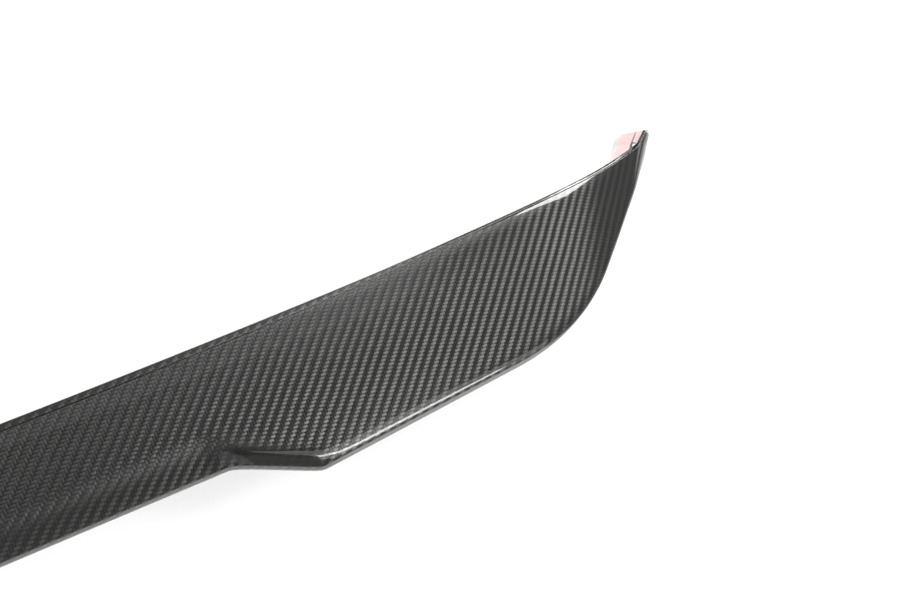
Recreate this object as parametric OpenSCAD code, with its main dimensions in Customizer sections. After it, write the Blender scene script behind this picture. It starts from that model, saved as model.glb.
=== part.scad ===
// Boot lid lip spoiler, moulded as one thin shell with tape along its two seats.
// The skin is drawn lying in its own plane: x along the car's width, v forward, n up.
// place() then tips that plane by the kick angle and puts the origin on the front tape.

/* [Plan shape] */
// Half of the overall width, centre line to tip
half_span = 606.5; // [590:1:620]
// Forward reach of the leading edge from the reference line at the centre
lead_reach = 21.5; // [15:0.5:30]
// Radius of the long bow in the leading edge
lead_radius = 7200; // [4000:100:12000]
// How far the leading edge hooks forward at the tip
tip_hook = 15.5; // [8:0.5:20]
// Distance from the centre line at which that hook begins
hook_start = 400; // [380:5:430]
// Rearward reach of the recessed middle of the lip
centre_reach = 52.8; // [46:0.5:56]
// Rearward reach of the wing's lip at its outer step corner
wing_reach = 75.8; // [68:0.5:80]
// Distance from the centre line to the inner corner of the step
step_in = 190; // [150:1:210]
// Distance from the centre line to the outer corner of the step
step_out = 243; // [225:1:270]
// Rounding of the step corners, as the depth cut off a corner
corner_soft = 1.1; // [0.4:0.1:2]
// Angle of the wing's lip to the car's width
lip_sweep = 4.2; // [2:0.1:6]
// Angle of the raked end of the lip
end_sweep = 38.3; // [34:0.1:40]
// Radius that joins the lip to its raked end
end_radius = 191; // [120:1:220]
// Distance from the centre line at which lip and raked end would meet
end_corner = 459.6; // [445:0.2:470]
// How far the lip curls forward at the tip
tip_curl = 5; // [3:0.5:6]
// Length over which it curls
tip_curl_run = 22; // [18:1:28]

/* [Skin form] */
// Wall of the moulding
wall = 1.8; // [1.4:0.1:2.2]
// Height of the crown over the tip bend at the centre
crown_height = 19.3; // [15:0.1:24]
// Fall of the skin for each millimetre of width, outside the middle
bow_slope = 0.04; // [0.02:0.002:0.05]
// Distance from the centre line over which that fall builds up
bow_start = 250; // [200:5:300]
// Radius of the crown from front to rear
crown_radius = 530; // [400:10:900]
// Line of the crown behind the reference line
crown_line = 33; // [25:1:40]
// Distance from the centre line at which the drooping end begins
droop_start = 448; // [430:1:460]
// Radius of the drooping end
droop_radius = 415; // [380:5:600]
// Skew of the droop, as run for each millimetre forward
droop_skew = 0.45; // [0.2:0.01:0.6]

/* [Edges] */
// Nose radius along the lip
nose_radius = 4.3; // [3.8:0.1:5]
// Nose radius on the raked end
nose_end = 2.7; // [2.5:0.1:3.5]
// Nose radius at the tip
nose_tip = 8; // [6:0.1:9]
// Width over which the middle rolls down to its lip
roll_width = 27; // [20:1:30]
// Depth of that roll at the lip
roll_depth = 6.5; // [4:0.1:8]
// Width of the roll along the step
step_roll_width = 9; // [7:0.5:12]
// Depth of the roll along the step
step_roll_depth = 1.9; // [1:0.1:2.5]
// Width over which the outer wing rolls down to the leading edge
front_roll_width = 8; // [5:0.5:12]
// Depth of that roll
front_roll_depth = 1; // [0.4:0.1:1.5]
// Distance from the centre line at which that roll begins
front_roll_start = 190; // [170:5:300]
// Distance from there over which it builds up
front_roll_run = 160; // [100:10:200]
// Width of the turned strip along the leading edge
strip_width = 4.3; // [3.4:0.1:5]
// Width of that strip on the outer wing
strip_end = 2.2; // [1.8:0.1:3]
// Fall of the strip for each millimetre of its width
strip_fall = 0.28; // [0.15:0.01:0.4]
// Depth of the crease beside the strip
crease_depth = 0.3; // [0.1:0.05:0.5]

/* [Rear wall] */
// Height of the rear wall below the wing's skin
rear_height = 31; // [27:0.5:34]
// Lean of the rear wall forward, from square to the skin
rear_lean = 31; // [26:1:33]
// How far the foot of that wall runs forward past the tip
tip_reach = 10; // [0:0.5:15]
// Amount by which the wall's lower corner at the tip is rounded off
tip_trim = 3; // [1:0.5:6]

/* [Tape] */
// Thickness of the foam tape
tape_thick = 1.2; // [0.8:0.1:2]
// Thickness of the release liner
liner_thick = 0.3; // [0.2:0.05:0.5]
// Width of the front tape
front_tape_width = 12; // [8:0.5:16]
// Distance of the front tape from the leading edge
front_tape_inset = 6; // [5:0.5:9]
// Width of the rear tape
rear_tape_width = 10; // [6:0.5:12]
// Distance of the rear tapes from the wall's lower edge
rear_tape_inset = 2.5; // [1.5:0.5:4]
// Distance of the pad at the tip from the wall's lower edge
tip_pad_inset = 0.5; // [0.3:0.1:2]
// Distance of that pad's liner from the same edge
tip_liner_inset = 3.5; // [2.5:0.5:5]
// Share of the rear wall's flat height that the pad at the tip covers
tip_pad_share = 0.9; // [0.7:0.01:0.95]
// Length of the pad at the tip, along the width
tip_pad_length = 44; // [30:1:50]
// Length of the corner that is left out of that pad
tip_notch_length = 14; // [8:0.5:16]
// Height of that corner
tip_notch_height = 8; // [5:0.5:10]

/* [Seat on the car] */
// Angle at which the skin kicks up from the boot lid
kick_angle = 15; // [10:0.5:20]

/* [Hidden] */

// Gap left by the bond between two layers
bond = 0.08;
// Points of the section along the skin, round the nose and across the turned strip
SKIN_CUTS = 13;
NOSE_CUTS = 6;
STRIP_CUTS = 2;
// Length of the tip over which the nose grows and the wall slants, and its last stretch
tip_run = 46;
tip_last = 14;
// How sharply the leading edge hooks, and its curl for each millimetre of the lip's
HOOK_POWER = 3.5;
LEAD_CURL = 1.3;
// Share of the tip's forward reach that the wall has already at its top
TIP_LEAD = 0.55;

function mix(a, b, t) = a + (b - a) * t;
// A smooth step from 0 at a to 1 at b
function ease(a, b, t) = let (u = min(1, max(0, (t - a) / (b - a)))) u * u * (3 - 2 * u);
// The greater or lesser of two values, with the corner between them rounded
function soft_max(a, b, k) = (a + b + sqrt((a - b) * (a - b) + k * k)) / 2;
function soft_min(a, b, k) = -soft_max(-a, -b, k);

// Leading edge seen from above, s from the centre line
function curl(s) = tip_curl * pow(max(0, s - half_span + tip_curl_run) / tip_curl_run, 2);
function lead_v(s) = lead_reach + s * s / (2 * lead_radius) + LEAD_CURL * curl(s)
    + tip_hook * pow(max(0, s - hook_start) / (half_span - hook_start), HOOK_POWER);

// Lip seen from above: a straight run, an arc and the raked end, then the step in the middle
end_tangent = end_radius * tan((end_sweep - lip_sweep) / 2);
arc_start = end_corner - end_tangent * cos(lip_sweep);
arc_end = end_corner + end_tangent * cos(end_sweep);
function lip_line(s) = -wing_reach + tan(lip_sweep) * (s - step_out);
arc_mid_s = arc_start - end_radius * sin(lip_sweep);
arc_mid_v = lip_line(arc_start) + end_radius * cos(lip_sweep);
function wing_v(s) = s < arc_start ? lip_line(s)
    : s < arc_end ? arc_mid_v - sqrt(pow(end_radius, 2) - pow(s - arc_mid_s, 2))
    : lip_line(end_corner) + tan(end_sweep) * (s - end_corner);
step_slope = (wing_reach - centre_reach) / (step_out - step_in);
function step_v(s) = -centre_reach - step_slope * (s - step_in);
function lip_v(s) = soft_max(soft_min(-centre_reach, step_v(s), corner_soft),
    wing_v(s), corner_soft) + curl(s);

// Direction of a rib: square to the lip of the wing, straight ahead in the middle
function rib_angle(s) = s < arc_start ? lip_sweep * ease(0, bow_start, s)
    : s < arc_end ? asin((s - arc_mid_s) / end_radius) : end_sweep;
function rib_dir(s) = [-sin(rib_angle(s)), cos(rib_angle(s))];
// Plan position at p forward of the lip's outline, and the rib's length to the leading edge
function at(s, p) = [s + rib_dir(s)[0] * p, lip_v(s) + rib_dir(s)[1] * p];
function rib_length(s, guess = 80, turns = 9) = turns == 0 ? guess
    : rib_length(s, (lead_v(at(s, guess)[0]) - lip_v(s)) / rib_dir(s)[1], turns - 1);

// Height of the skin: bow and crown over the width, then the skewed droop of the end
function bow(s) = bow_slope * (s < bow_start ? s * s / (2 * bow_start) : s - bow_start / 2);
function crown(s, v) = (1 - ease(arc_start - 70, end_corner, s)) * pow(v + crown_line, 2)
    / (2 * crown_radius);
function droop(s, v) = pow(max(0, s - droop_start - droop_skew * v), 2) / (2 * droop_radius);
function skin_n(s, v) = crown_height - bow(s) - crown(s, v) - droop(s, v);

// Edge forms that change along the width
function by_step(s, middle, step, wing) = mix(mix(middle, step, ease(step_in - 14, step_in + 14, s)),
    wing, ease(step_out - 14, step_out + 18, s));
function roll_w(s) = by_step(s, roll_width, step_roll_width, 4);
function roll_d(s) = by_step(s, roll_depth, step_roll_depth, 0.2);
function nose_r(s) = min(rib_length(s) - 1.4,
    mix(mix(nose_radius, nose_end, ease(arc_start, arc_end, s)), nose_tip,
        ease(half_span - tip_run, half_span - tip_last, s)));
function strip_w(s) = mix(strip_width, strip_end, ease(bow_start, arc_start, s));

// Where the nose begins on the rib, and how far the skin is tipped there
function crest_tilt(s) = atan(2 * roll_d(s) / roll_w(s)) + 1.5;
function crest_p(s) = nose_r(s) * (1 - sin(crest_tilt(s)));
function rib_n(s, p) = let (a = at(s, p))
    skin_n(a[0], a[1]) - roll_d(s) * pow(max(0, 1 - (p - crest_p(s)) / roll_w(s)), 2)
    - front_roll(s, lead_v(a[0]) - a[1]);
function front_roll(s, gap) = front_roll_depth
    * ease(front_roll_start, front_roll_start + front_roll_run, s)
    * (1 - ease(half_span - 52, half_span - 18, s))
    * pow(max(0, 1 - (gap - strip_w(s)) / front_roll_width), 2);
function nose_mid(s) = [nose_r(s), rib_n(s, crest_p(s)) - nose_r(s) * cos(crest_tilt(s))];
function nose_at(s, a) = nose_mid(s) + nose_r(s) * [-cos(a), sin(a)];

// The rear wall runs from the nose down to its foot and leans forward
down = [sin(rear_lean), -cos(rear_lean)];
ahead = [cos(rear_lean), sin(rear_lean)];
function wall_run(s) = (rear_height - nose_r(s) - roll_d(s)
    - tip_trim * ease(half_span - 6, half_span, s)) / cos(rear_lean);
function wall_foot(s) = nose_at(s, -rear_lean) + wall_run(s) * down;

// Outer face of a rib, from the leading edge to the foot of the rear wall
function outer(s, crease) = let (
        crest = crest_p(s),
        len = rib_length(s),
        strip = min(strip_w(s), 0.35 * (len - crest)),
        edge = len - strip,
        gap = min(0.8, 0.3 * (edge - crest)),
        fall = strip_fall * min(1, (edge - crest) / 20),
        edge_n = rib_n(s, edge))
    concat(
        [for (i = [0 : STRIP_CUTS]) let (t = 1 - i / STRIP_CUTS)
            [edge + strip * t, edge_n - fall * strip * t * (0.7 + 0.3 * t)]],
        [[edge - gap / 2, rib_n(s, edge - gap / 2) - crease]],
        [for (i = [0 : SKIN_CUTS])
            let (t = i / SKIN_CUTS, p = mix(edge - gap, crest, mix(t, ease(0, 1, t), 0.7)))
            [p, rib_n(s, p)]],
        [for (i = [1 : NOSE_CUTS])
            nose_at(s, mix(90 - crest_tilt(s), -rear_lean, i / NOSE_CUTS))],
        [for (i = [1 : 2]) nose_at(s, -rear_lean) + wall_run(s) * i / 2 * down]);

// Inner face, one wall deeper, without the crease
function square_to(d) = [-d[1], d[0]] / norm(d);
function inner(s) = let (pts = outer(s, 0), last = len(pts) - 1)
    [for (i = [last : -1 : 0]) if (i != 1 && i != STRIP_CUTS + 1)
        pts[i] + wall * square_to(pts[min(last, i + 1)] - pts[max(0, i - 1)])];

// A point under the skin, and one on the rear wall at a slant height over its foot
function under(s, p, depth) = let (q = [p, rib_n(s, p)])
    q + depth * square_to([p - 1, rib_n(s, p - 1)] - q);
function on_wall(s, rise, depth) = wall_foot(s) - rise * down + depth * ahead;

// From a rib to the skin frame, on the right (side 1) or the left (side -1).
// Towards the tip the nose and the rear wall slant forward along the lip as they go down,
// and the foot stays back where the lip curls.
function wall_share(s, n) = let (top = nose_at(s, -rear_lean)[1])
    min(1, max(0, (top - n) / (top - wall_foot(s)[1])));
function slant(s, n) = let (
        top = nose_at(s, -rear_lean)[1],
        share = n > top ? TIP_LEAD * ease(rib_n(s, crest_p(s)), top, n)
            : mix(TIP_LEAD, 1, wall_share(s, n)))
    tip_reach * ease(half_span - tip_run, half_span, s) * share;
function lift(side, s, q) = let (
        a = at(s, q[0]),
        d = slant(s, q[1]),
        back = curl(s) > 0 ? curl(s) * wall_share(s, q[1]) : 0)
    [side * (a[0] + d * cos(rib_angle(s))), a[1] + d * sin(rib_angle(s)) - back, q[1]];

// Runs of tape between the step, the wings and the tips
front_break = step_in - 6;
tape_break = 8;
front_end = half_span - 52;
rear_break = step_in - 10;
rear_start = step_out + 8;
tip_pad_end = half_span - 1.2;
tip_pad_start = tip_pad_end - tip_pad_length;
notch_start = tip_pad_end - tip_notch_length;
rear_end = tip_pad_start - tape_break;

// Stations from the centre line to the tip, closer where the outline turns
function spread(a, b, n) = [for (i = [1 : n]) mix(a, b, i / n)];
HALF = concat([0], spread(0, step_in - 14, 5), spread(step_in - 14, step_out + 14, 17),
    spread(step_out + 14, arc_start, 6), spread(arc_start, arc_end, 11),
    spread(arc_end, tip_pad_start, 5), spread(tip_pad_start, notch_start, 3),
    spread(notch_start, half_span - 5, 3), [for (d = [3, 1.2, 0]) half_span - d]);
function between(a, b) = concat([a], [for (s = HALF) if (s > a + 1 && s < b - 1) s], [b]);

// A solid through a row of closed sections that follow one another along x.
// Each section goes out over one face and back over the other, and the facets of both faces
// are split the same way, mirrored about the centre line, so that the layers lie flat together.
module loft(rows) {
    m = len(rows[0]);
    k = len(rows);
    sides = [for (j = [0 : k - 2], i = [0 : m - 1])
        let (a = j * m + i, b = j * m + (i + 1) % m, left = rows[j][0][0] < 0, back = i >= m / 2)
        each left != back ? [[a, a + m, b + m], [a, b + m, b]] : [[a, a + m, b], [b, a + m, b + m]]];
    polyhedron([for (row = rows) each row],
        concat(sides, [[for (i = [0 : m - 1]) i]], [[for (i = [m - 1 : -1 : 0]) (k - 1) * m + i]]));
}

// The origin is where the middle of the front tape meets the car
function seat_depth() = wall + bond + tape_thick;
function front_p(s) = rib_length(s) - front_tape_inset;
seat = lift(1, 0, under(0, front_p(0) - front_tape_width / 2, seat_depth()));
module place() {
    rotate([-kick_angle, 0, 0]) translate(-seat) children();
}

function section(side, s) = [for (q = concat(outer(s, crease_depth), inner(s))) lift(side, s, q)];
module spoiler_shell() {
    last = len(HALF) - 1;
    color([0.17, 0.17, 0.17]) place()
        loft(concat([for (i = [last : -1 : 1]) section(-1, HALF[i])],
            [for (s = HALF) section(1, s)]));
}

// Layers on the inside, as depths from the outer face
FOAM = [wall + bond, wall + bond + tape_thick];
LINER = [FOAM[1] + bond, FOAM[1] + bond + liner_thick];

// Sections of a layer under the leading edge, and of one on the rear wall between two rises
function front_section(s, layer) = let (a = front_p(s), b = a - front_tape_width)
    [under(s, a, layer[0]), under(s, b, layer[0]), under(s, b, layer[1]), under(s, a, layer[1])];
function wall_section(s, low, high, layer) = [on_wall(s, high, layer[0]), on_wall(s, low, layer[0]),
    on_wall(s, low, layer[1]), on_wall(s, high, layer[1])];
function lifted(side, s, pts) = [for (q = pts) lift(side, s, q)];
function reversed(v) = [for (i = [len(v) - 1 : -1 : 0]) v[i]];
function on_side(side, run) = side > 0 ? run : reversed(run);

module front_side(side, layer) {
    run = on_side(side, between(front_break + tape_break, front_end));
    place() loft([for (s = run) lifted(side, s, front_section(s, layer))]);
}
module front_middle(layer) {
    run = between(0, front_break);
    place() loft(concat(
        [for (s = reversed(run)) if (s > 0) lifted(-1, s, front_section(s, layer))],
        [for (s = run) lifted(1, s, front_section(s, layer))]));
}

function rear_section(s, layer) = wall_section(s, rear_tape_inset,
    rear_tape_inset + rear_tape_width, layer);
module rear_side(side, layer) {
    run = on_side(side, between(rear_start, rear_end));
    place() loft([for (s = run) lifted(side, s, rear_section(s, layer))]);
}
module rear_middle(layer) {
    run = between(0, rear_break);
    place() loft(concat(
        [for (s = reversed(run)) if (s > 0) lifted(-1, s, rear_section(s, layer))],
        [for (s = run) lifted(1, s, rear_section(s, layer))]));
}

// The pad at the tip, with one corner left out, and the patch that sits in that corner
slit = 1.3;
function pad_top(s) = tip_pad_share * wall_run(s);
function pad_high(s) = pad_top(s) - (s > notch_start ? tip_notch_height : 0);
module tip_layer(side, layer, inset) {
    low = between(tip_pad_start, notch_start);
    run = on_side(side, concat(low, between(notch_start + 0.2, tip_pad_end)));
    place() loft([for (s = run)
        lifted(side, s, wall_section(s, inset, pad_high(s), layer))]);
}
module tip_corner(side, layer) {
    run = on_side(side, between(notch_start + slit, tip_pad_end));
    place() loft([for (s = run)
        lifted(side, s, wall_section(s, pad_top(s) - tip_notch_height + slit, pad_top(s), layer))]);
}

foam_grey = [0.8, 0.8, 0.79];
foam_white = [0.94, 0.94, 0.94];
liner_pink = [0.93, 0.72, 0.72];
module front_tape_left() color(foam_grey) front_side(-1, FOAM);
module front_tape_centre() color(foam_grey) front_middle(FOAM);
module front_tape_right() color(foam_grey) front_side(1, FOAM);
module rear_tape_left() color(foam_grey) rear_side(-1, FOAM);
module rear_tape_centre() color(foam_grey) rear_middle(FOAM);
module rear_tape_right() color(foam_grey) rear_side(1, FOAM);
module tip_pad_left() color(foam_grey) tip_layer(-1, FOAM, tip_pad_inset);
module tip_pad_right() color(foam_grey) tip_layer(1, FOAM, tip_pad_inset);
module tip_patch_left() color(foam_white) tip_corner(-1, FOAM);
module tip_patch_right() color(foam_white) tip_corner(1, FOAM);
module front_liner_left() color(liner_pink) front_side(-1, LINER);
module front_liner_centre() color(liner_pink) front_middle(LINER);
module front_liner_right() color(liner_pink) front_side(1, LINER);
module rear_liner_left() color(liner_pink) rear_side(-1, LINER);
module rear_liner_centre() color(liner_pink) rear_middle(LINER);
module rear_liner_right() color(liner_pink) rear_side(1, LINER);
module tip_liner_left() color(liner_pink) tip_layer(-1, LINER, tip_liner_inset);
module tip_liner_right() color(liner_pink) tip_layer(1, LINER, tip_liner_inset);

spoiler_shell();
front_tape_left();
front_tape_centre();
front_tape_right();
rear_tape_left();
rear_tape_centre();
rear_tape_right();
tip_pad_left();
tip_pad_right();
tip_patch_left();
tip_patch_right();
front_liner_left();
front_liner_centre();
front_liner_right();
rear_liner_left();
rear_liner_centre();
rear_liner_right();
tip_liner_left();
tip_liner_right();
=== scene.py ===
"""Boot lid lip spoiler: the shell redrawn fine and smooth from the part's own formulas.

The form is worked out in millimetres, and placed in metres in the part's frame.
"""

import math

import bmesh
import bpy
from mathutils import Matrix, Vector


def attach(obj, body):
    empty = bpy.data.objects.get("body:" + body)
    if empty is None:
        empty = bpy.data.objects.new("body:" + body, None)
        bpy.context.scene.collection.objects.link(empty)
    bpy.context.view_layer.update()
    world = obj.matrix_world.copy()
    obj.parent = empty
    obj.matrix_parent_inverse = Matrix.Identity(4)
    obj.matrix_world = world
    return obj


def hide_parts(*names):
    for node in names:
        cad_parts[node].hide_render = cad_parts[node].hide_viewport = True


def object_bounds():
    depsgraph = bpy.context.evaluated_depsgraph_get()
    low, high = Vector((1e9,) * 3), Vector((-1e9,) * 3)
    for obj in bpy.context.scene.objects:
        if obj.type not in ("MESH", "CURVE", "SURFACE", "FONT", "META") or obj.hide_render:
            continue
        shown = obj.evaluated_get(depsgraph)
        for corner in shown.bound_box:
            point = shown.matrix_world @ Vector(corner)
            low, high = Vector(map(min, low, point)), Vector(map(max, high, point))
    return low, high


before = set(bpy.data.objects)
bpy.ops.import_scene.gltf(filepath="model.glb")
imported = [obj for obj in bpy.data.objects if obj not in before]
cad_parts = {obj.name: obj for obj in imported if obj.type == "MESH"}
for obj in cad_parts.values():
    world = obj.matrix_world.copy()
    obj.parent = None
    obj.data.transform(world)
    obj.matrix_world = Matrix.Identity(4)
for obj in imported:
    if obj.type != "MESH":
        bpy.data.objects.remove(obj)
cad_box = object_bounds()

# Plan shape: stations along the width, reaches forward and back, in millimetres
HALF_SPAN = 606.5
LEAD_REACH = 21.5
LEAD_RADIUS = 7200
TIP_HOOK = 15.5
HOOK_START = 400
HOOK_POWER = 3.5
CENTRE_REACH = 52.8
WING_REACH = 75.8
STEP_IN = 190
STEP_OUT = 243
CORNER_SOFT = 1.1
LIP_SWEEP = math.radians(4.2)
END_SWEEP = math.radians(38.3)
END_RADIUS = 191
END_CORNER = 459.6
TIP_CURL = 5
TIP_CURL_RUN = 22
LEAD_CURL = 1.3  # curl of the leading edge for each millimetre of the lip's

# Skin: the crown, its fall along the width and the drooping ends
WALL = 1.8
CROWN_HEIGHT = 19.3
BOW_SLOPE = 0.04
BOW_START = 250
CROWN_RADIUS = 530
CROWN_LINE = 33
DROOP_START = 448
DROOP_RADIUS = 415
DROOP_SKEW = 0.45

# Edges: the nose along the lip, the rolls down to both edges, the strip and its crease
NOSE_RADIUS = 4.3
NOSE_END = 2.7
NOSE_TIP = 8
TIP_RUN = 46
TIP_LAST = 14
ROLL_WIDTH = 27
ROLL_DEPTH = 6.5
STEP_ROLL_WIDTH = 9
STEP_ROLL_DEPTH = 1.9
FRONT_ROLL_WIDTH = 8
FRONT_ROLL_DEPTH = 1
FRONT_ROLL_START = 190
FRONT_ROLL_RUN = 160
STRIP_WIDTH = 4.3
STRIP_END = 2.2
STRIP_FALL = 0.28
CREASE_DEPTH = 0.3
CREASE_GAP = 0.8
EDGE = 0.45  # radius of the wall's free edges
FOOT_BAND = 0.25  # narrow row of faces above the foot, which keeps the wall flat to its edge

# Rear wall, and its reach past the tip
REAR_HEIGHT = 31
REAR_LEAN = math.radians(31)
TIP_REACH = 10
TIP_TRIM = 3
TIP_LEAD = 0.55  # share of that reach that the wall has already at its top

# Seat on the car: the kick of the skin, and the front tape between them
KICK = math.radians(15)
FRONT_TAPE_INSET = 6
FRONT_TAPE_WIDTH = 12
TAPE_DEPTH = WALL + 0.08 + 1.2  # wall, bond and foam

# Points of a section along the skin, round the nose and down the wall
SKIN_CUTS = 30
NOSE_CUTS = 14
WALL_CUTS = 8
# Of its first points, those on the strip; then the groove's middle, and the first of the skin
STRIP_POINTS = 7
GROOVE_POINT = 8
SKIN_POINT = 12

END_TANGENT = END_RADIUS * math.tan((END_SWEEP - LIP_SWEEP) / 2)
ARC_START = END_CORNER - END_TANGENT * math.cos(LIP_SWEEP)
ARC_END = END_CORNER + END_TANGENT * math.cos(END_SWEEP)
STEP_SLOPE = (WING_REACH - CENTRE_REACH) / (STEP_OUT - STEP_IN)


def mix(a, b, t):
    """a where t is 0, b where t is 1."""
    return a + (b - a) * t


def ease(a, b, t):
    """A smooth step from 0 at a to 1 at b."""
    u = min(1.0, max(0.0, (t - a) / (b - a)))
    return u * u * (3 - 2 * u)


def soft_max(a, b, k):
    """The greater of two values, with the corner between them rounded."""
    return (a + b + math.sqrt((a - b) ** 2 + k * k)) / 2


def curl(s):
    """How far the lip curls forward at a station s."""
    return TIP_CURL * (max(0.0, s - HALF_SPAN + TIP_CURL_RUN) / TIP_CURL_RUN) ** 2


def lead_v(s):
    """Forward reach of the leading edge."""
    hook = max(0.0, s - HOOK_START) / (HALF_SPAN - HOOK_START)
    return LEAD_REACH + s * s / (2 * LEAD_RADIUS) + TIP_HOOK * hook ** HOOK_POWER + LEAD_CURL * curl(s)


def lip_line(s):
    """The wing's straight lip."""
    return -WING_REACH + math.tan(LIP_SWEEP) * (s - STEP_OUT)


ARC_MID_S = ARC_START - END_RADIUS * math.sin(LIP_SWEEP)
ARC_MID_V = lip_line(ARC_START) + END_RADIUS * math.cos(LIP_SWEEP)


def wing_v(s):
    """The wing's lip with its raked end, joined by an arc."""
    if s < ARC_START:
        return lip_line(s)
    if s < ARC_END:
        return ARC_MID_V - math.sqrt(END_RADIUS ** 2 - (s - ARC_MID_S) ** 2)
    return lip_line(END_CORNER) + math.tan(END_SWEEP) * (s - END_CORNER)


def lip_v(s):
    """The whole lip: the recessed middle, the step and the wing, with rounded corners."""
    step = -CENTRE_REACH - STEP_SLOPE * (s - STEP_IN)
    return soft_max(-soft_max(CENTRE_REACH, -step, CORNER_SOFT), wing_v(s), CORNER_SOFT) + curl(s)


def rib_angle(s):
    """How far a section turns outwards, so that it stays square to the lip."""
    if s < ARC_START:
        return LIP_SWEEP * ease(0, BOW_START, s)
    return math.asin((s - ARC_MID_S) / END_RADIUS) if s < ARC_END else END_SWEEP


class Rib:
    """The section of the shell at a station: p forward of the lip's outline, n up."""

    def __init__(self, s):
        self.s = s
        self.turn = rib_angle(s)
        self.dir = (-math.sin(self.turn), math.cos(self.turn))
        self.lip = lip_v(s)
        length = 80
        for _ in range(9):
            length = (lead_v(s + self.dir[0] * length) - self.lip) / self.dir[1]
        self.length = length
        self.strip = mix(STRIP_WIDTH, STRIP_END, ease(BOW_START, ARC_START, s))
        self.front = FRONT_ROLL_DEPTH * ease(FRONT_ROLL_START, FRONT_ROLL_START + FRONT_ROLL_RUN, s) * (
            1 - ease(HALF_SPAN - 52, HALF_SPAN - 18, s))
        self.roll_w = self.by_step(ROLL_WIDTH, STEP_ROLL_WIDTH, 4)
        self.roll_d = self.by_step(ROLL_DEPTH, STEP_ROLL_DEPTH, 0.2)
        blend = mix(mix(NOSE_RADIUS, NOSE_END, ease(ARC_START, ARC_END, s)), NOSE_TIP,
                    ease(HALF_SPAN - TIP_RUN, HALF_SPAN - TIP_LAST, s))
        self.r = min(length - 1.4, blend)
        self.tilt = math.atan(2 * self.roll_d / self.roll_w) + math.radians(1.5)
        self.crest = self.r * (1 - math.sin(self.tilt))
        self.mid = (self.r, self.n(self.crest) - self.r * math.cos(self.tilt))
        self.top = self.nose(-REAR_LEAN)
        trim = TIP_TRIM * ease(HALF_SPAN - 6, HALF_SPAN, s)
        self.run = (REAR_HEIGHT - self.r - self.roll_d - trim) / math.cos(REAR_LEAN)
        self.down = (math.sin(REAR_LEAN), -math.cos(REAR_LEAN))
        self.foot = self.on_wall(self.run)

    def by_step(self, middle, step, wing):
        """A size that goes from its value in the middle, through the step's, to the wing's."""
        t = mix(middle, step, ease(STEP_IN - 14, STEP_IN + 14, self.s))
        return mix(t, wing, ease(STEP_OUT - 14, STEP_OUT + 18, self.s))

    def at(self, p):
        """Station and forward reach of a point of the section."""
        return self.s + self.dir[0] * p, self.lip + self.dir[1] * p

    def n(self, p):
        """Height of the skin."""
        s, v = self.at(p)
        bow = BOW_SLOPE * (s * s / (2 * BOW_START) if s < BOW_START else s - BOW_START / 2)
        crown = (1 - ease(ARC_START - 70, END_CORNER, s)) * (v + CROWN_LINE) ** 2 / (2 * CROWN_RADIUS)
        droop = max(0.0, s - DROOP_START - DROOP_SKEW * v) ** 2 / (2 * DROOP_RADIUS)
        roll = self.roll_d * max(0.0, 1 - (p - self.crest) / self.roll_w) ** 2
        front = self.front * max(0, 1 - (lead_v(s) - v - self.strip) / FRONT_ROLL_WIDTH) ** 2
        return CROWN_HEIGHT - bow - crown - droop - roll - front

    def nose(self, a):
        """A point round the nose, at an angle above level."""
        return self.mid[0] - self.r * math.cos(a), self.mid[1] + self.r * math.sin(a)

    def on_wall(self, d):
        """A point down the rear wall."""
        return self.top[0] + d * self.down[0], self.top[1] + d * self.down[1]

    def wall_share(self, n):
        """How far down the wall a height lies, from 0 at its top to 1 at its foot."""
        return min(1, max(0, (self.top[1] - n) / (self.top[1] - self.foot[1])))

    def slant(self, n):
        """How far the tip reaches past its section at a height."""
        if n > self.top[1]:
            share = TIP_LEAD * ease(self.n(self.crest), self.top[1], n)
        else:
            share = mix(TIP_LEAD, 1, self.wall_share(n))
        return TIP_REACH * ease(HALF_SPAN - TIP_RUN, HALF_SPAN, self.s) * share

    def lift(self, q):
        """From the section to the skin's frame: along the width, forward and up."""
        s, v = self.at(q[0])
        d = self.slant(q[1])
        back = curl(self.s) * self.wall_share(q[1])
        return s + d * math.cos(self.turn), v + d * math.sin(self.turn) - back, q[1]


def find_seat():
    """Where the middle of the front tape meets the car, under the skin on the centre line."""
    rib = Rib(0)
    p = rib.length - FRONT_TAPE_INSET - FRONT_TAPE_WIDTH / 2
    rise = rib.n(p - 1) - rib.n(p)
    k = math.hypot(1, rise)
    return 0, rib.lip + p - TAPE_DEPTH * rise / k, rib.n(p) - TAPE_DEPTH / k


SEAT = find_seat()


def to_row(x, v, n):
    """From the skin's frame to the part's, in metres."""
    x, v, n = x - SEAT[0], v - SEAT[1], n - SEAT[2]
    c, k = math.cos(KICK), math.sin(KICK)
    spot = x / 1000, (v * c + n * k) / 1000, (n * c - v * k) / 1000
    return tuple(min(high, max(low, q)) for q, low, high in zip(spot, *cad_box))


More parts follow.
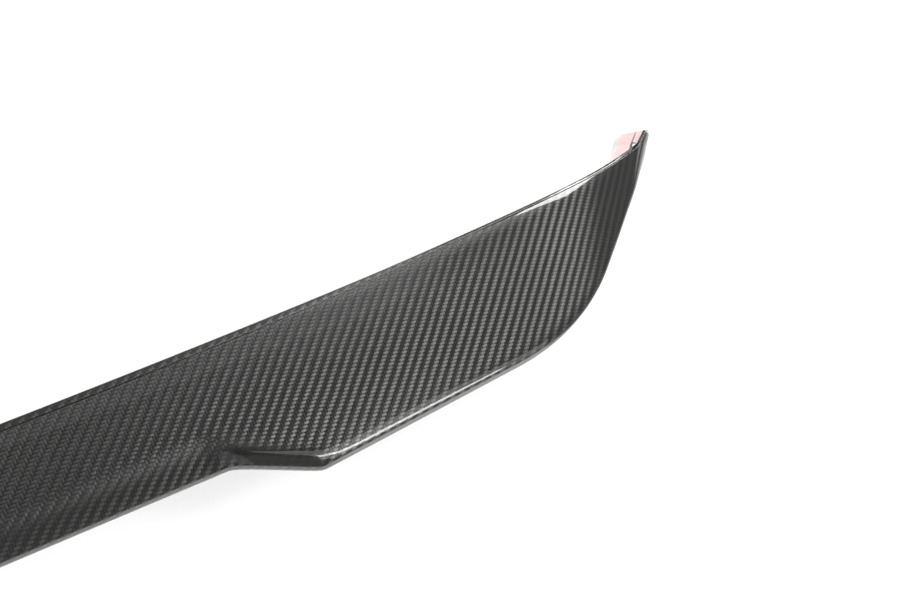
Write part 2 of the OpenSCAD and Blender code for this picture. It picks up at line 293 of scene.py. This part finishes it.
def outer(rib):
    """Points of the outer face from the leading edge to the foot, each with its run past the crest."""
    strip = min(rib.strip, 0.35 * (rib.length - rib.crest))
    edge = rib.length - strip
    gap = min(CREASE_GAP, 0.3 * (edge - rib.crest))
    fall = STRIP_FALL * min(1, (edge - rib.crest) / 20)
    r = min(EDGE, 0.3 * strip)

    def on_strip(t):
        return edge + strip * t, rib.n(edge) - fall * strip * t * (0.7 + 0.3 * t)

    last = 1 - r / strip
    pts = [on_strip(t) for t in (last, last - 0.12, 0.66 * last, 0.4 * last, 0.18 * last, 0.06, 0)]
    groove = CREASE_DEPTH * gap / CREASE_GAP
    for t, d in ((0.2, 0.5), (0.5, 1), (0.8, 0.5)):
        pts.append((edge - gap * t, rib.n(edge - gap * t) - groove * d))
    pts.append((edge - gap, rib.n(edge - gap)))
    pts.append((edge - gap * 1.3, rib.n(edge - gap * 1.3)))
    for i in range(1, SKIN_CUTS + 1):
        t = i / SKIN_CUTS
        p = mix(edge - gap * 1.3, rib.crest, mix(t, ease(0, 1, t), 0.6))
        pts.append((p, rib.n(p)))
    runs = [0.0] * len(pts)
    for i in range(1, NOSE_CUTS + 1):
        a = mix(math.pi / 2 - rib.tilt, -REAR_LEAN, i / NOSE_CUTS)
        pts.append(rib.nose(a))
        runs.append(rib.r * (math.pi / 2 - rib.tilt - a))
    arc = runs[-1]
    for i in range(1, WALL_CUTS + 1):
        d = (rib.run - EDGE) * i / WALL_CUTS
        if i == WALL_CUTS - 1:
            d = rib.run - EDGE - FOOT_BAND
        pts.append(rib.on_wall(d))
        runs.append(arc + d)
    return pts, runs, on_strip(1), r


def square_to(d):
    """The unit direction square to d."""
    k = math.hypot(d[0], d[1]) or 1
    return -d[1] / k, d[0] / k


def rim(end, e, inward, r):
    """Four points round the edge of the wall: end is its outer corner, e points out of the edge."""
    s = r * (1 - math.sqrt(0.5))
    out = []
    for back, deep in ((s, s), (0, r), (0, WALL - r), (s, WALL - s)):
        out.append((end[0] - e[0] * back + inward[0] * deep, end[1] - e[1] * back + inward[1] * deep))
    return out


def section(rib):
    """Closed section as pairs of points that face each other through the wall, with the runs."""
    pts, runs, tip, r = outer(rib)
    last = len(pts) - 1
    across = [square_to((pts[min(last, i + 1)][0] - pts[max(0, i - 1)][0],
                         pts[min(last, i + 1)][1] - pts[max(0, i - 1)][1])) for i in range(last + 1)]
    inner = [(p[0] + WALL * a[0], p[1] + WALL * a[1]) for p, a in zip(pts, across)]
    d = (tip[0] - pts[1][0], tip[1] - pts[1][1])
    k = math.hypot(*d)
    e = (d[0] / k, d[1] / k)
    front = rim(tip, e, (e[1], -e[0]), r)
    foot = rim(rib.foot, rib.down, (math.cos(REAR_LEAN), math.sin(REAR_LEAN)), EDGE)
    loop = pts + foot + inner[::-1] + front[::-1]
    length = runs + [runs[-1] + EDGE] * 4 + runs[::-1] + [0.0] * 4
    n = len(pts)
    m = len(loop)
    twin = list(range(m))
    for i in range(n):
        twin[i], twin[m - 5 - i] = m - 5 - i, i
    for i in range(4):
        twin[n + i] = n + 3 - i
        twin[m - 4 + i] = m - 1 - i
    return loop, length, twin, n


def stations():
    """Stations of one half, closer where the outline turns, each with how far the wall stays open."""
    runs = ((0, 176, 26), (176, 257, 58), (257, ARC_START, 24), (ARC_START, ARC_END, 42),
            (ARC_END, HALF_SPAN - 12, 40), (HALF_SPAN - 12, HALF_SPAN - EDGE, 14))
    out = [(0.0, 1.0)]
    for a, b, k in runs:
        out += [(mix(a, b, i / k), 1.0) for i in range(1, k + 1)]
    return out + [(HALF_SPAN - EDGE * 0.29, 0.85), (HALF_SPAN, 0.5)]


def cloth(rib, side, q, run):
    """Where a point lies on the cloth, in millimetres: a straight laid weave, draped over the nose."""
    p = max(q[0], rib.crest) if run > 0 else q[0]
    s, v = rib.at(p)
    m = max(0.0, s - DROOP_START - DROOP_SKEW * v) / DROOP_RADIUS
    s += DROOP_RADIUS * ((m * math.sqrt(1 + m * m) + math.asinh(m)) / 2 - m)
    if run > 0:
        s, v = rib.at(rib.crest)
        s -= rib.dir[0] * run
        v -= rib.dir[1] * run
        d = rib.slant(q[1])
        s += d * math.cos(rib.turn)
        v += d * math.sin(rib.turn)
        s += DROOP_RADIUS * ((m * math.sqrt(1 + m * m) + math.asinh(m)) / 2 - m)
    return side * s, v


# Stretches of the half span over which a mark on the cloth, plain weave or painted shade, comes or goes,
# in millimetres
GROOVE_GOES, GROOVE_BACK = (230, 330), (430, 490)
FRONT_PLAIN = (380, 450)
WING_PLAIN, END_PLAIN, TIP_PLAIN = (230, 300), (370, 470), (515, 545)
LIP_DARK = (270, 380)
LINE_COMES, LINE_GOES = (360, 410), (565, 590)
STRIP_DARK = (562, 582)
CORNER_CALM, CORNER_SLANT = (488, 514), 0.6
# Share of the painted dark line on each point of the strip, and of the painted shade in the groove on its
# points
LINE_SHARE = (1.0, 0.95, 0.25, 0, 0, 0, 0)
GROOVE_SHARE = {GROOVE_POINT - 1: 0.6, GROOVE_POINT: 1.0, GROOVE_POINT + 1: 0.6}


def skin_marks(rib, p, seam, calm):
    """On the skin lacquer hides the cloth at the lip and the step, and the weave is evened towards the
    end; painted shade darkens the tip and the crests of the lip and the step, and the skin is darker next
    to the strip.
    """
    s = rib.s
    past = p - rib.crest
    step = ease(STEP_IN - 6, STEP_IN + 8, s) * (1 - ease(STEP_OUT - 2, STEP_OUT + 10, s))
    wide = mix(30, 12, ease(STEP_IN, STEP_OUT, s))
    rolled = 0.5 * (1 - ease(0.4, 1, past / rib.roll_w)) * rib.roll_d / ROLL_DEPTH
    still = 0.25 * ease(*WING_PLAIN, s) + 0.33 * ease(*END_PLAIN, s)
    # at the tip the weave is evened and, in the return below, darkened: painted shade where the end turns
    # from the light
    corner = 0.76 * calm + 0.17 * ease(*TIP_PLAIN, s)
    # painted shade along the lip's crest, in place of a light in the lacquer
    by_lip = 0.5 * ease(*LIP_DARK, s) * (1 - ease(0.5, 8, past))
    # painted shade: a dark band behind the step's crest
    by_step = 0.62 * step * ease(2.5, 6.5, past) * (1 - ease(9, 14, past))
    by_strip = 0.2 * (1 - ease(2, 30, seam - p))
    plain = max(corner, still, rolled, step * (1 - ease(2.5, wide, past)))
    return plain, max(0.5 * calm, by_lip, by_step, by_strip)


def marks(rib, loop, n):
    """For each point of a section: how plain the cloth looks, how much painted shade it takes, and the cut
    end.
    """
    s = rib.s
    groove = max(1 - ease(*GROOVE_GOES, s), ease(*GROOVE_BACK, s))
    line = ease(*LINE_COMES, s) * (1 - ease(*LINE_GOES, s))
    cut = ease(HALF_SPAN - 3 * EDGE, HALF_SPAN - 1.5 * EDGE, s)
    nose = n - WALL_CUTS - NOSE_CUTS
    out = []
    for j, q in enumerate(loop):
        plain, dark = 0.0, 0.0
        along, across = rib.at(q[0])
        calm = ease(*CORNER_CALM, along - CORNER_SLANT * across)
        # painted shade on the strip and its front rim: a dark line along the edge, darker at the tip
        if j >= len(loop) - 2:
            plain, dark = 0.65, line
        elif j < STRIP_POINTS:
            plain, dark = 0.65, max(0.3 * calm, 0.9 * ease(*STRIP_DARK, s), line * LINE_SHARE[j])
        elif j < SKIN_POINT:
            plain = mix(0.4, 0.95, ease(*FRONT_PLAIN, s))
        elif j < nose:
            plain, dark = skin_marks(rib, q[0], loop[SKIN_POINT][0], calm)
        elif j < nose + NOSE_CUTS:
            plain = ease(nose, nose + 2, j + 1)
        elif j < nose + NOSE_CUTS + 2:
            plain = 0.5
        # painted shade along the wall's foot
        elif n - 3 <= j < n + 3:
            dark = 0.7
        # painted shade in the groove
        out.append((plain, max(dark, groove * GROOVE_SHARE.get(j, 0.0)), cut))
    return out


def shell_rows():
    """From tip to tip, each section's points, their places on the cloth and their marks."""
    half = stations()
    rows = []
    for side, run in ((-1, half[:0:-1]), (1, half)):
        for s, closing in run:
            rib = Rib(s)
            loop, length, twin, n = section(rib)
            spots, uvs = [], []
            for i, q in enumerate(loop):
                t = loop[twin[i]]
                mid = ((q[0] + t[0]) / 2, (q[1] + t[1]) / 2)
                c = (mix(mid[0], q[0], closing), mix(mid[1], q[1], closing))
                x, v, h = rib.lift(c)
                spots.append(to_row(side * x, v, h))
                uvs.append(cloth(rib, side, q, length[i]))
            rows.append((spots, uvs, marks(rib, loop, n)))
    return rows, n


def build_shell():
    """One closed mesh: a grid wrapped round the sections, with both ends capped."""
    rows, n = shell_rows()
    m = len(rows[0][0])
    bm = bmesh.new()
    bmesh.ops.create_grid(bm, x_segments=len(rows) - 1, y_segments=m, size=1)
    cloth_map = bm.loops.layers.uv.new("cloth")
    # per point: plain weave, painted shade and the cut end
    layers = [bm.verts.layers.float.new(name) for name in ("plain", "crease", "cut")]
    place = {}
    for vert in bm.verts:
        i = round((vert.co.x + 1) / 2 * (len(rows) - 1))
        j = round((vert.co.y + 1) / 2 * m)
        place[vert.index] = (i, j)
    for vert in bm.verts:
        i, j = place[vert.index]
        vert.co = rows[i][0][j % m]
        for layer, value in zip(layers, rows[i][2][j % m]):
            vert[layer] = value
    for face in bm.faces:
        js = [place[loop.vert.index][1] for loop in face.loops]
        face.smooth = True
        face.material_index = 1 if min(js) >= n + 3 and max(js) <= m - 4 else 0
        for loop in face.loops:
            i, j = place[loop.vert.index]
            loop[cloth_map].uv = rows[i][1][j % m]
    bmesh.ops.remove_doubles(bm, verts=bm.verts, dist=1e-7)
    ends = [e for e in bm.edges if e.is_boundary]
    caps = bmesh.ops.holes_fill(bm, edges=ends, sides=0)["faces"]
    for face in caps:
        face.smooth = False
    bmesh.ops.triangulate(bm, faces=caps)
    bmesh.ops.recalc_face_normals(bm, faces=bm.faces)
    mesh = bpy.data.meshes.new("shell")
    bm.to_mesh(mesh)
    bm.free()
    shell = bpy.data.objects.new("shell", mesh)
    bpy.context.scene.collection.objects.link(shell)
    return shell


# Materials: lacquered and bare cloth, foam and film
TOW = 2.0  # width of a tow of the cloth, in millimetres
WINDOW_LOW = 0.5914  # metres from the centre line to the film's window in the tip patch
WINDOW_LENGTH = 0.0079
WINDOW_HIGH = 0.0055
WINDOW_DROP = 0.0593  # metres of its lower edge under the origin, at its inner end
WINDOW_SLOPE = 0.4
WINDOW_EDGE = 0.0011


class Nodes:
    """Short forms for building a node material."""

    def __init__(self, name):
        self.mat = bpy.data.materials.new(name)
        self.mat.use_nodes = True
        self.tree = self.mat.node_tree
        self.shader = self.tree.nodes["Principled BSDF"]

    def add(self, kind, **values):
        node = self.tree.nodes.new(kind)
        for key, value in values.items():
            setattr(node, key, value)
        return node

    def join(self, source, target):
        self.tree.links.new(source, target)

    def put(self, target, value):
        if isinstance(value, bpy.types.NodeSocket):
            self.join(value, target)
        else:
            target.default_value = value

    def math(self, kind, a, b=0.0, c=0.0):
        node = self.add("ShaderNodeMath", operation=kind)
        for socket, value in zip(node.inputs, (a, b, c)):
            self.put(socket, value)
        return node.outputs[0]

    def blend(self, a, b, t):
        """a where t is 0, b where t is 1, as values."""
        node = self.add("ShaderNodeMix", data_type="FLOAT")
        for socket, value in zip((node.inputs[0], node.inputs[2], node.inputs[3]), (t, a, b)):
            self.put(socket, value)
        return node.outputs[0]

    def tint(self, a, b, t):
        """a where t is 0, b where t is 1, as colours."""
        node = self.add("ShaderNodeMix", data_type="RGBA")
        for socket, value in zip((node.inputs[0], node.inputs[6], node.inputs[7]), (t, a, b)):
            self.put(socket, value)
        return node.outputs[2]

    def noise(self, vector, scale, detail=2.0, rough=0.5):
        node = self.add("ShaderNodeTexNoise")
        self.join(vector, node.inputs["Vector"])
        node.inputs["Scale"].default_value = scale
        node.inputs["Detail"].default_value = detail
        node.inputs["Roughness"].default_value = rough
        return node.outputs["Fac"]

    def set(self, **values):
        for key, value in values.items():
            self.put(self.shader.inputs[key.replace("_", " ")], value)


def twill(name, lit_weft, shaded_warp, coat):
    """2 by 2 twill of carbon tows 2 mm wide, read from the cloth map in millimetres; the weft is coloured
    lighter than the warp, painted sheen for how the light falls along the tows.
    """
    k = Nodes(name)
    uv = k.add("ShaderNodeUVMap", uv_map="cloth").outputs[0]
    wander = k.noise(uv, 0.035, 1.0)
    parts = k.add("ShaderNodeSeparateXYZ")
    k.join(uv, parts.inputs[0])
    drift = k.math("MULTIPLY", k.math("SUBTRACT", wander, 0.5), 0.35)
    a = k.math("ADD", k.math("MULTIPLY", parts.outputs[0], 1 / TOW), drift)
    b = k.math("SUBTRACT", k.math("MULTIPLY", parts.outputs[1], 1 / TOW), drift)
    i, j = k.math("FLOOR", a), k.math("FLOOR", b)
    fa, fb = k.math("FRACT", a), k.math("FRACT", b)
    along_weft = k.math("FLOORED_MODULO", k.math("SUBTRACT", a, j), 4.0)
    along_warp = k.math("FLOORED_MODULO", k.math("SUBTRACT", b, i), 4.0)
    on_top = k.math("LESS_THAN", along_weft, 2.0)
    run = k.blend(k.math("SUBTRACT", along_warp, 2.0), k.math("SUBTRACT", along_weft, 1.0), on_top)
    side = k.blend(k.math("MULTIPLY_ADD", fa, 2.0, -1.0), k.math("MULTIPLY_ADD", fb, 2.0, -1.0), on_top)
    # height of the tow: a flat bulge across, falling away at both ends of the float
    across = k.math("SUBTRACT", 1.0, k.math("POWER", k.math("ABSOLUTE", side), 2.6))
    ends = k.math("SUBTRACT", 1.0, k.math("POWER", k.math("ABSOLUTE", run), 2.4))
    height = k.math("ADD", k.math("MULTIPLY", across, 0.35), k.math("MULTIPLY", ends, 0.65))
    # filaments run along the tow, and every float has a tone of its own
    lengthwise = k.blend(b, a, on_top)
    crosswise = k.blend(a, b, on_top)
    hair = k.add("ShaderNodeCombineXYZ")
    k.join(k.math("MULTIPLY", crosswise, 9.0), hair.inputs[0])
    k.join(k.math("MULTIPLY", lengthwise, 0.5), hair.inputs[1])
    k.join(k.math("MULTIPLY", on_top, 7.0), hair.inputs[2])
    strands = k.noise(hair.outputs[0], 1.0, 2.0, 0.6)
    cell = k.add("ShaderNodeCombineXYZ")
    k.join(k.blend(i, j, on_top), cell.inputs[0])
    float_run = k.blend(k.math("SUBTRACT", b, i), k.math("SUBTRACT", a, j), on_top)
    k.join(k.math("FLOOR", k.math("MULTIPLY", float_run, 0.25)), cell.inputs[1])
    k.join(on_top, cell.inputs[2])
    random = k.add("ShaderNodeTexWhiteNoise", noise_dimensions="3D")
    k.join(cell.outputs[0], random.inputs["Vector"])
    tone = k.math("ADD", 0.86, k.math("MULTIPLY", random.outputs["Value"], 0.24))
    tone = k.math("MULTIPLY", tone, k.math("MULTIPLY_ADD", strands, 0.5, 0.75))
    # the shade in the gaps between the tows
    lip = k.math("SUBTRACT", 1.0, k.math("MULTIPLY", k.math("POWER", k.math("ABSOLUTE", side), 2.4), 0.85))
    fade = k.math("SUBTRACT", 1.0, k.math("MULTIPLY", k.math("POWER", k.math("ABSOLUTE", run), 3.0), 0.6))
    tone = k.math("MULTIPLY", tone, k.math("MULTIPLY", lip, fade))
    # round the edges the lacquer lies thick and hides the weave; painted shade darkens the groove, the
    # crests, the foot and the tip, and where it is deep it takes the lacquer's reflection away
    plain, crease, cut = (k.add("ShaderNodeAttribute", attribute_name=name).outputs["Fac"]
                          for name in ("plain", "crease", "cut"))
    tone = k.blend(tone, 0.6, plain)
    tone = k.math("MULTIPLY", tone, k.math("MULTIPLY_ADD", crease, -0.9, 1.0))
    middle = tuple((p + q) / 2 for p, q in zip(shaded_warp, lit_weft))
    colour = k.tint(k.tint(shaded_warp, lit_weft, on_top), middle, plain)
    shade = k.add("ShaderNodeVectorMath", operation="SCALE")
    k.join(colour, shade.inputs[0])
    k.join(tone, shade.inputs["Scale"])
    bump = k.add("ShaderNodeBump")
    k.put(bump.inputs["Strength"], k.math("MULTIPLY_ADD", plain, -0.6, 0.6))
    bump.inputs["Distance"].default_value = 0.0002
    k.join(height, bump.inputs["Height"])
    tangent = k.add("ShaderNodeTangent", direction_type="UV_MAP", uv_map="cloth")
    base = k.tint(shade.outputs[0], (0.42, 0.41, 0.38, 1), cut)
    metal = k.math("SUBTRACT", 1.0, cut)
    k.set(Base_Color=base, Metallic=metal, Normal=bump.outputs[0],
          Roughness=k.math("MULTIPLY_ADD", crease, 0.4, 0.38))
    turn = k.math("MULTIPLY", on_top, 0.25)
    k.set(Anisotropic=0.85, Anisotropic_Rotation=turn, Tangent=tangent.outputs[0])
    if coat:
        # the lacquer's reflection is taken away where painted shade is deep, and on the bare cut end
        shade_and_bare_cut = k.math("MAXIMUM", k.math("MULTIPLY_ADD", crease, 1.9, -0.95), k.math("MULTIPLY", cut, 0.7))
        k.set(Coat_Weight=k.math("SUBTRACT", 1.0, shade_and_bare_cut), Coat_Roughness=0.03, Coat_IOR=1.5)
    return k.mat


def soft_sheet(name, colour, dark, scale, rough, pores):
    """Foam or film: a pale ground with a fine grain, read from object coordinates."""
    k = Nodes(name)
    where = k.add("ShaderNodeTexCoord").outputs["Object"]
    grain = k.noise(where, scale, 3.0, 0.6)
    cloud = k.noise(where, 60.0, 2.0)
    t = k.math("MULTIPLY", k.math("ADD", grain, cloud), 0.5)
    bump = k.add("ShaderNodeBump")
    bump.inputs["Strength"].default_value = pores
    bump.inputs["Distance"].default_value = 0.0002
    k.join(grain, bump.inputs["Height"])
    k.set(Base_Color=k.tint((*dark, 1), (*colour, 1), t), Roughness=rough, Normal=bump.outputs[0])
    return k.mat


def window_sheet(name, colour, dark):
    """The film over the end of the tip pad, torn away over a window of white foam, with a painted shadow
    along the window's end and foot.
    """
    k = Nodes(name)
    where = k.add("ShaderNodeTexCoord").outputs["Object"]
    grain = k.noise(where, 900.0, 3.0, 0.6)
    cloud = k.noise(where, 60.0)
    film = k.tint((*dark, 1), (*colour, 1), k.math("MULTIPLY", k.math("ADD", grain, cloud), 0.5))
    bare = k.tint((0.8, 0.8, 0.8, 1), (0.9, 0.9, 0.9, 1), k.noise(where, 3000.0, 3.0, 0.6))
    parts = k.add("ShaderNodeSeparateXYZ")
    k.join(where, parts.inputs[0])
    out = k.math("SUBTRACT", k.math("ABSOLUTE", parts.outputs[0]), WINDOW_LOW)
    over = k.math("ADD", k.math("MULTIPLY_ADD", out, WINDOW_SLOPE, parts.outputs[2]), WINDOW_DROP)
    below = k.math("LESS_THAN", out, WINDOW_LENGTH)
    taper = k.math("MULTIPLY_ADD", over, WINDOW_EDGE / WINDOW_HIGH, WINDOW_LENGTH - WINDOW_EDGE)
    at_end = k.math("GREATER_THAN", out, taper)
    at_foot = k.math("LESS_THAN", over, WINDOW_EDGE * 0.8)
    # painted shadow along the window's end and foot
    window = k.tint(bare, (0.03, 0.03, 0.03, 1), k.math("MAXIMUM", at_end, at_foot))
    k.set(Base_Color=k.tint(film, window, below), Roughness=0.5)
    return k.mat


# the weft's colour is painted lighter than the warp's: painted sheen on one and the same cloth
outside = twill("coated twill", (0.212, 0.209, 0.199, 1), (0.092, 0.093, 0.094, 1), True)
inside = twill("bare twill", (0.05, 0.05, 0.05, 1), (0.03, 0.03, 0.03, 1), False)
foam = soft_sheet("foam tape", (0.74, 0.74, 0.73), (0.6, 0.6, 0.59), 3000.0, 0.8, 0.5)
film = soft_sheet("liner film", (0.80, 0.60, 0.61), (0.70, 0.50, 0.51), 900.0, 0.45, 0.2)
torn = window_sheet("torn film", (0.80, 0.60, 0.61), (0.70, 0.50, 0.51))

shell = build_shell()
shell.data.materials.append(outside)
shell.data.materials.append(inside)
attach(shell, "root")
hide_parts("spoiler_shell")
for name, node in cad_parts.items():
    if name == "spoiler_shell":
        continue
    mat = film if "liner" in name else torn if "patch" in name else foam
    node.data.materials.clear()
    node.data.materials.append(mat)

# Studio: a pale floor and area lamps, in metres
FLOOR_Z = cad_box[0][2] - 0.0005
FLOOR_PALE = 0.84
FLOOR_WIDTH = 14
WHITE_FROM, WHITE_TO = 1.2, 3.0
GLOSSY_SKY = 0.16  # strength of the world in reflections


def studio_floor(width, pale):
    """A level floor, pale round the object and white far out, so that its border doesn't show."""
    bm = bmesh.new()
    bmesh.ops.create_grid(bm, x_segments=1, y_segments=1, size=width / 2)
    mesh = bpy.data.meshes.new("floor")
    bm.to_mesh(mesh)
    bm.free()
    o = bpy.data.objects.new("floor", mesh)
    o.location = (0, 0, FLOOR_Z)
    bpy.context.scene.collection.objects.link(o)
    k = Nodes("floor")
    out = k.add("ShaderNodeVectorMath", operation="LENGTH")
    k.join(k.add("ShaderNodeTexCoord").outputs["Object"], out.inputs[0])
    far = k.add("ShaderNodeMapRange", interpolation_type="SMOOTHSTEP")
    k.join(out.outputs["Value"], far.inputs["Value"])
    far.inputs["From Min"].default_value = WHITE_FROM
    far.inputs["From Max"].default_value = WHITE_TO
    k.set(Base_Color=k.tint((pale, pale, pale, 1), (1, 1, 1, 1), far.outputs["Result"]),
          Roughness=0.9, Specular_IOR_Level=0.0)
    mesh.materials.append(k.mat)


studio_floor(FLOOR_WIDTH, FLOOR_PALE)


def aim(o, place, target):
    """Puts o at place with its -Z axis towards target."""
    d = [t - p for p, t in zip(place, target)]
    k = math.sqrt(sum(c * c for c in d))
    z = [-c / k for c in d]
    side = (-z[1], z[0], 0)
    n = math.hypot(side[0], side[1]) or 1
    x = (side[0] / n, side[1] / n, 0) if n > 1e-6 else (1, 0, 0)
    y = (z[1] * x[2] - z[2] * x[1], z[2] * x[0] - z[0] * x[2], z[0] * x[1] - z[1] * x[0])
    o.matrix_world = Matrix(((x[0], y[0], z[0], place[0]), (x[1], y[1], z[1], place[1]),
                             (x[2], y[2], z[2], place[2]), (0, 0, 0, 1)))


def flat_light(name, span, height, radiance):
    """An area lamp lying level above the object, facing down: span is x from, x to, y from, y to."""
    data = bpy.data.lights.new(name, "AREA")
    data.shape = "RECTANGLE"
    data.size, data.size_y = span[1] - span[0], span[3] - span[2]
    data.energy = radiance * math.pi * data.size * data.size_y
    o = bpy.data.objects.new(name, data)
    bpy.context.scene.collection.objects.link(o)
    o.location = ((span[0] + span[1]) / 2, (span[2] + span[3]) / 2, height)
    return o


def softbox(name, direction, distance, size, radiance, about=(0.3, 0, 0)):
    """An area lamp of that radiance, seen from about in that direction."""
    k = math.sqrt(sum(c * c for c in direction))
    place = [a + distance * c / k for a, c in zip(about, direction)]
    data = bpy.data.lights.new(name, "AREA")
    data.shape = "RECTANGLE"
    data.size, data.size_y = size
    data.energy = radiance * math.pi * size[0] * size[1]
    o = bpy.data.objects.new(name, data)
    bpy.context.scene.collection.objects.link(o)
    aim(o, place, about)
    return o


flat_light("lip light", (1.12, 1.84, 0.02, 0.20), 2.2, 16.0)
flat_light("top panel", (-0.9, 2.6, 1.4, 2.4), 2.0, 0.35)
flat_light("middle panel", (1.0, 2.2, -0.35, 0.5), 2.2, 2.0)
flat_light("back panel", (-0.9, 0.2, -1.3, -0.3), 2.2, 0.5)
softbox("window", (0.506, 0.723, 0.469), 2.4, (0.42, 0.60), 0.8, (0.35, 0, 0))
softbox("front light", (0.690, 0.631, 0.353), 2.2, (0.65, 1.0), 14.0, (0.53, 0.02, -0.03))
softbox("rear card", (0.1, -1, 0.36), 2.6, (4.5, 1.8), 1.6)
softbox("side card", (0.606, -0.673, 0.423), 2.6, (1.4, 1.8), 1.5)
softbox("end card", (1, 0.1, 0.105), 2.6, (1.8, 0.6), 1.4)
softbox("key light", (-0.6, 0.35, 0.7), 2.4, (1.0, 1.0), 5.0)

def white_sky():
    """A white world, which the lacquer shows darker, as the dim part of a studio."""
    world = bpy.data.worlds.new("studio")
    bpy.context.scene.world = world
    world.use_nodes = True
    tree = world.node_tree
    back = tree.nodes["Background"]
    back.inputs[0].default_value = (1, 1, 1, 1)
    path = tree.nodes.new("ShaderNodeLightPath")
    dim = tree.nodes.new("ShaderNodeMix")
    dim.data_type = "FLOAT"
    dim.inputs[2].default_value = 1.0
    dim.inputs[3].default_value = GLOSSY_SKY
    tree.links.new(path.outputs["Is Glossy Ray"], dim.inputs[0])
    tree.links.new(dim.outputs[0], back.inputs[1])


white_sky()

# Camera, at the photo's viewing angle
CAMERA_PLACE = (-0.10418, 0.05539, 0.88996)
CAMERA_TURN = (6.177, -28.173, -22.099)  # degrees
cam_data = bpy.data.cameras.new("camera")
cam_data.sensor_width = 36.0
cam_data.lens = 60.46
camera = bpy.data.objects.new("camera", cam_data)
bpy.context.scene.collection.objects.link(camera)
camera.location = CAMERA_PLACE
camera.rotation_euler = [math.radians(angle) for angle in CAMERA_TURN]
scene = bpy.context.scene
scene.camera = camera
scene.view_settings.view_transform = "Standard"
